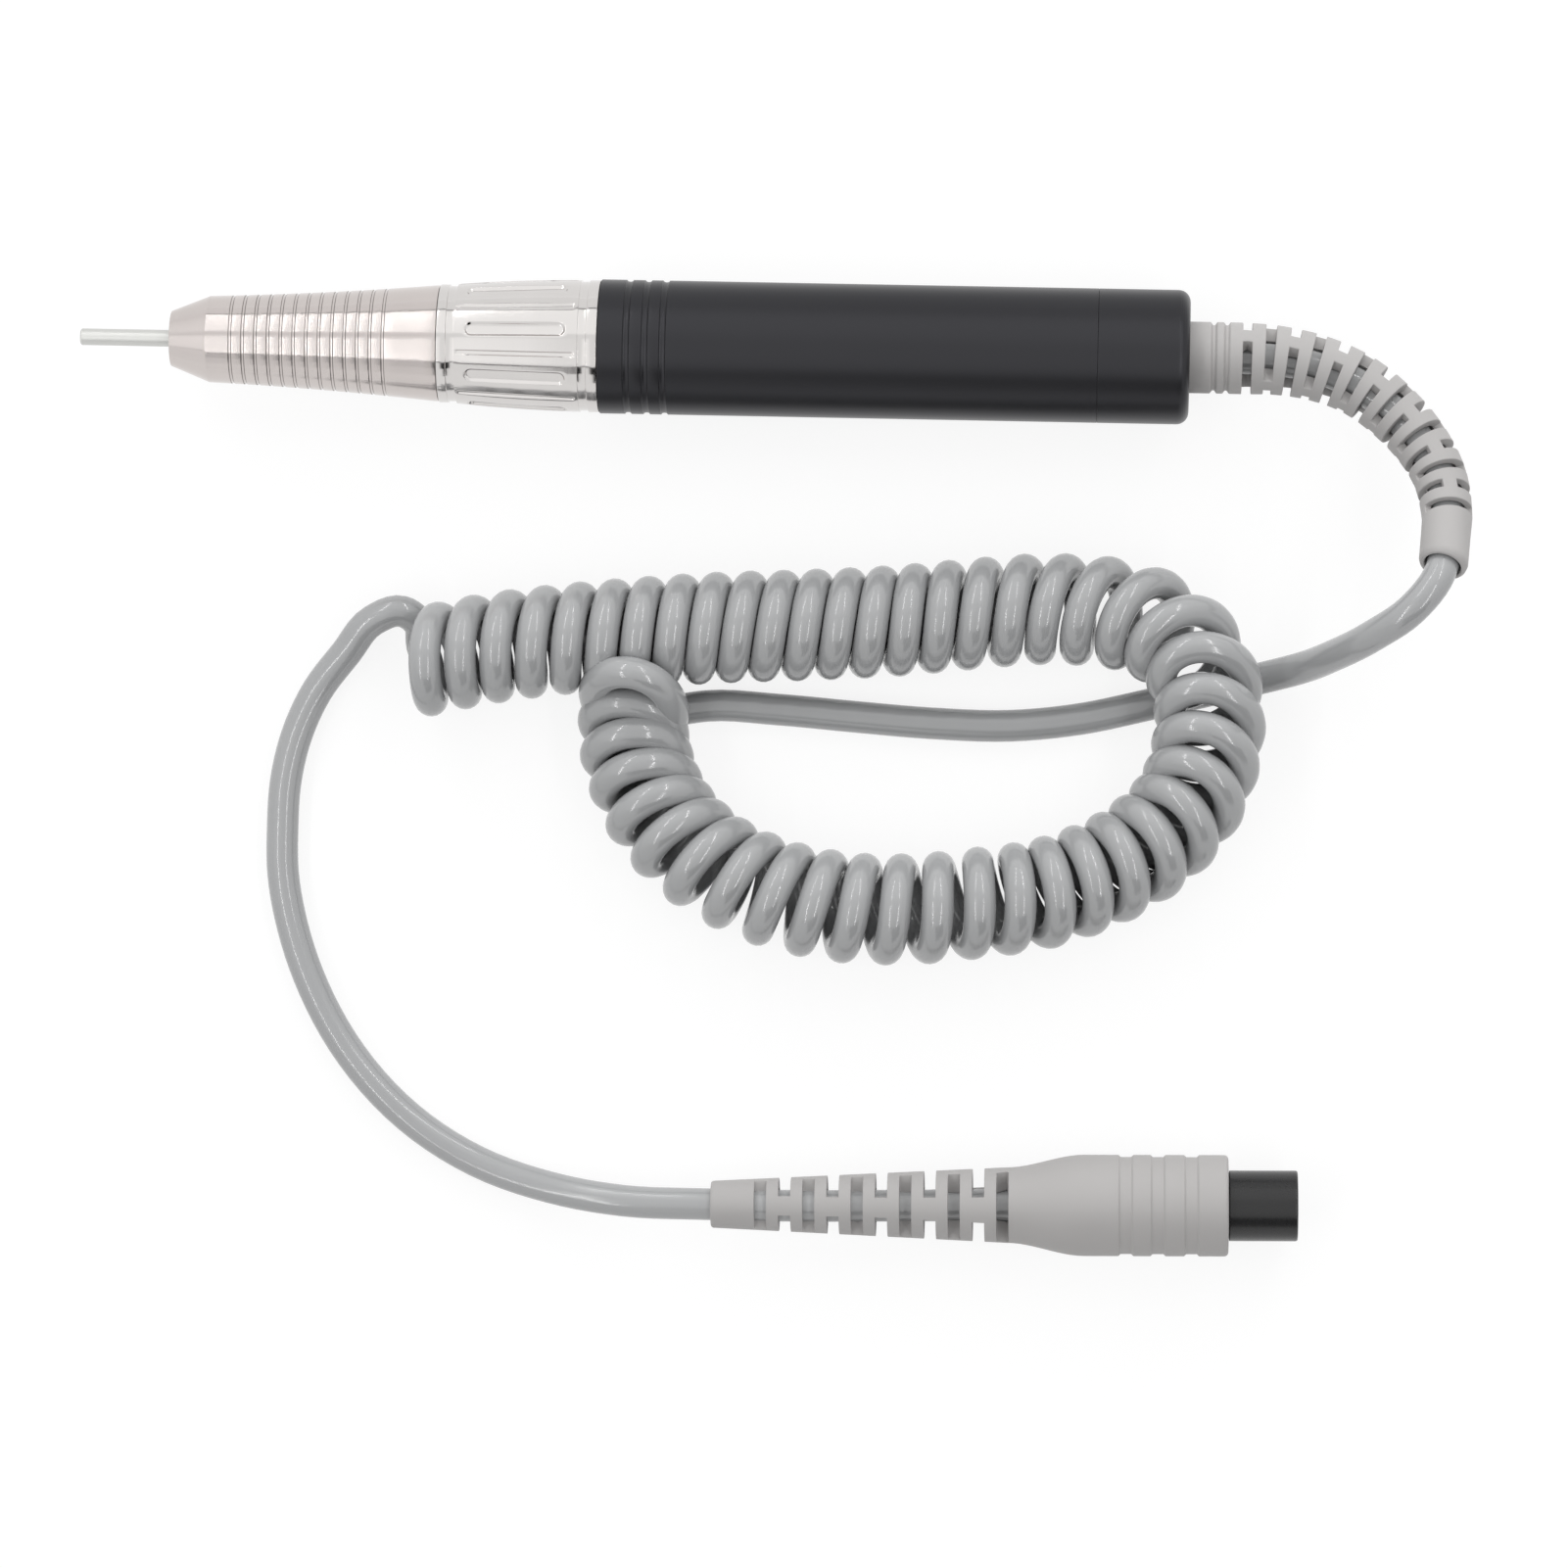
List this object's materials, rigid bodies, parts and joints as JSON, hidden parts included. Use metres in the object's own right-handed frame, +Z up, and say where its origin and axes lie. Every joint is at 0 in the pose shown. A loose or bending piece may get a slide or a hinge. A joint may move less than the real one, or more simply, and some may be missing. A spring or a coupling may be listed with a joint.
{
  "type": "electric nail drill handpiece",
  "caption": "Pen-shaped electric nail drill handpiece with twist-lock collet, slotted bend relief, coiled grey cord and round plug, laid flat.",
  "frame": {"origin": "centre of the handpiece's bounding box, bit included and cord left out, on the surface it lies on", "axes": "+X along the handpiece from the bit to the cord, +Y to the left of the handpiece seen from above with the nose to the left of the page up the page, +Z up"},
  "size_m": [0.1958, 0.1356, 0.025],
  "materials": {
    "nose_aluminium": "fine turned, satin",
    "ring_aluminium": "bright turned",
    "black_anodised_aluminium": "matte black anodised",
    "turned_aluminium": "plain turned",
    "ground_steel": "ground",
    "bearing_steel": "ground and polished",
    "spring_steel": "drawn wire",
    "plated_steel": "zinc plated",
    "core_steel": "stamped sheets",
    "copper_wire": "enamelled wire",
    "commutator_copper": "turned",
    "magnet_ferrite": "dull",
    "brush_carbon": "dull",
    "contact_brass": "stamped",
    "bell_plastic": "moulded",
    "seal_rubber": "matte",
    "red_wire": "satin",
    "black_wire": "satin",
    "grey_boot_plastic": "moulded, satin",
    "grey_cord_plastic": "extruded, glossy",
    "black_plug_plastic": "moulded, satin"
  },
  "bodies": {
    "handpiece": {"nose_housing": "nose_aluminium", "dust_seal": "seal_rubber", "spindle_bearing_outer_races": "bearing_steel", "spindle_bearing_balls": "bearing_steel", "bearing_spacer": "turned_aluminium", "wave_washer": "spring_steel", "bearing_nut": "turned_aluminium", "core_sleeve": "turned_aluminium", "motor_barrel": "black_anodised_aluminium", "rear_cap": "black_anodised_aluminium", "motor_can": "plated_steel", "field_magnets": "magnet_ferrite", "motor_front_plate": "turned_aluminium", "motor_end_bell": "bell_plastic", "motor_retainer": "turned_aluminium", "end_bell_screws": "plated_steel", "motor_bearing_outer_races": "bearing_steel", "motor_bearing_balls": "bearing_steel", "brush_holders": "contact_brass", "carbon_brushes": "brush_carbon", "brush_springs": "spring_steel", "brush_terminals": "contact_brass", "red_lead": "red_wire", "black_lead": "black_wire", "cord_clamp": "plated_steel", "strain_relief": "grey_boot_plastic", "cord_lead": "grey_cord_plastic", "curly_cord": "grey_cord_plastic", "cord_tail": "grey_cord_plastic", "plug_cover": "grey_boot_plastic", "plug_shell": "black_plug_plastic", "plug_insulator": "black_plug_plastic", "plug_contacts": "contact_brass"},
    "lock_ring": {"lock_ring": "ring_aluminium"},
    "cam_sleeve": {"cam_sleeve": "ground_steel", "cam_pins": "ground_steel"},
    "spindle": {"spindle": "ground_steel", "spindle_bearing_inner_races": "bearing_steel", "drive_fork": "ground_steel", "collet_spring": "spring_steel"},
    "collet": {"collet": "ground_steel", "thrust_collar": "ground_steel", "cross_pin": "ground_steel"},
    "bit": {"bit_shank": "ground_steel"},
    "rotor": {"rotor_shaft": "ground_steel", "armature_core": "core_steel", "armature_windings": "copper_wire", "commutator": "commutator_copper", "motor_bearing_inner_races": "bearing_steel", "drive_dog": "ground_steel"}
  },
  "joints": [
    {"name": "lock_twist", "type": "hinge", "parent": "handpiece", "child": "lock_ring", "pos_m": [0, 0, 0.0094], "axis": [1, 0, 0], "range_deg": [0, 62]},
    {"name": "cam_slide", "type": "slide", "parent": "handpiece", "child": "cam_sleeve", "axis": [-1, 0, 0], "range_m": [0, 0.0018]},
    {"name": "rotor_spin", "type": "hinge", "parent": "handpiece", "child": "rotor", "pos_m": [0, 0, 0.0094], "axis": [1, 0, 0], "continuous": true},
    {"name": "spindle_spin", "type": "hinge", "parent": "handpiece", "child": "spindle", "pos_m": [0, 0, 0.0094], "axis": [1, 0, 0], "continuous": true},
    {"name": "collet_release", "type": "slide", "parent": "spindle", "child": "collet", "axis": [-1, 0, 0], "range_m": [0, 0.0016], "deforming": ["collet_spring"]},
    {"name": "bit_draw", "type": "slide", "parent": "collet", "child": "bit", "axis": [-1, 0, 0], "range_m": [0, 0.04]}
  ],
  "couplings": [
    {"joint": "lock_twist", "follows": "cam_slide", "rad_per_m": 581.78},
    {"joint": "collet_release", "follows": "cam_slide", "ratio": 0.83333},
    {"joint": "spindle_spin", "follows": "rotor_spin", "ratio": 1}
  ]
}
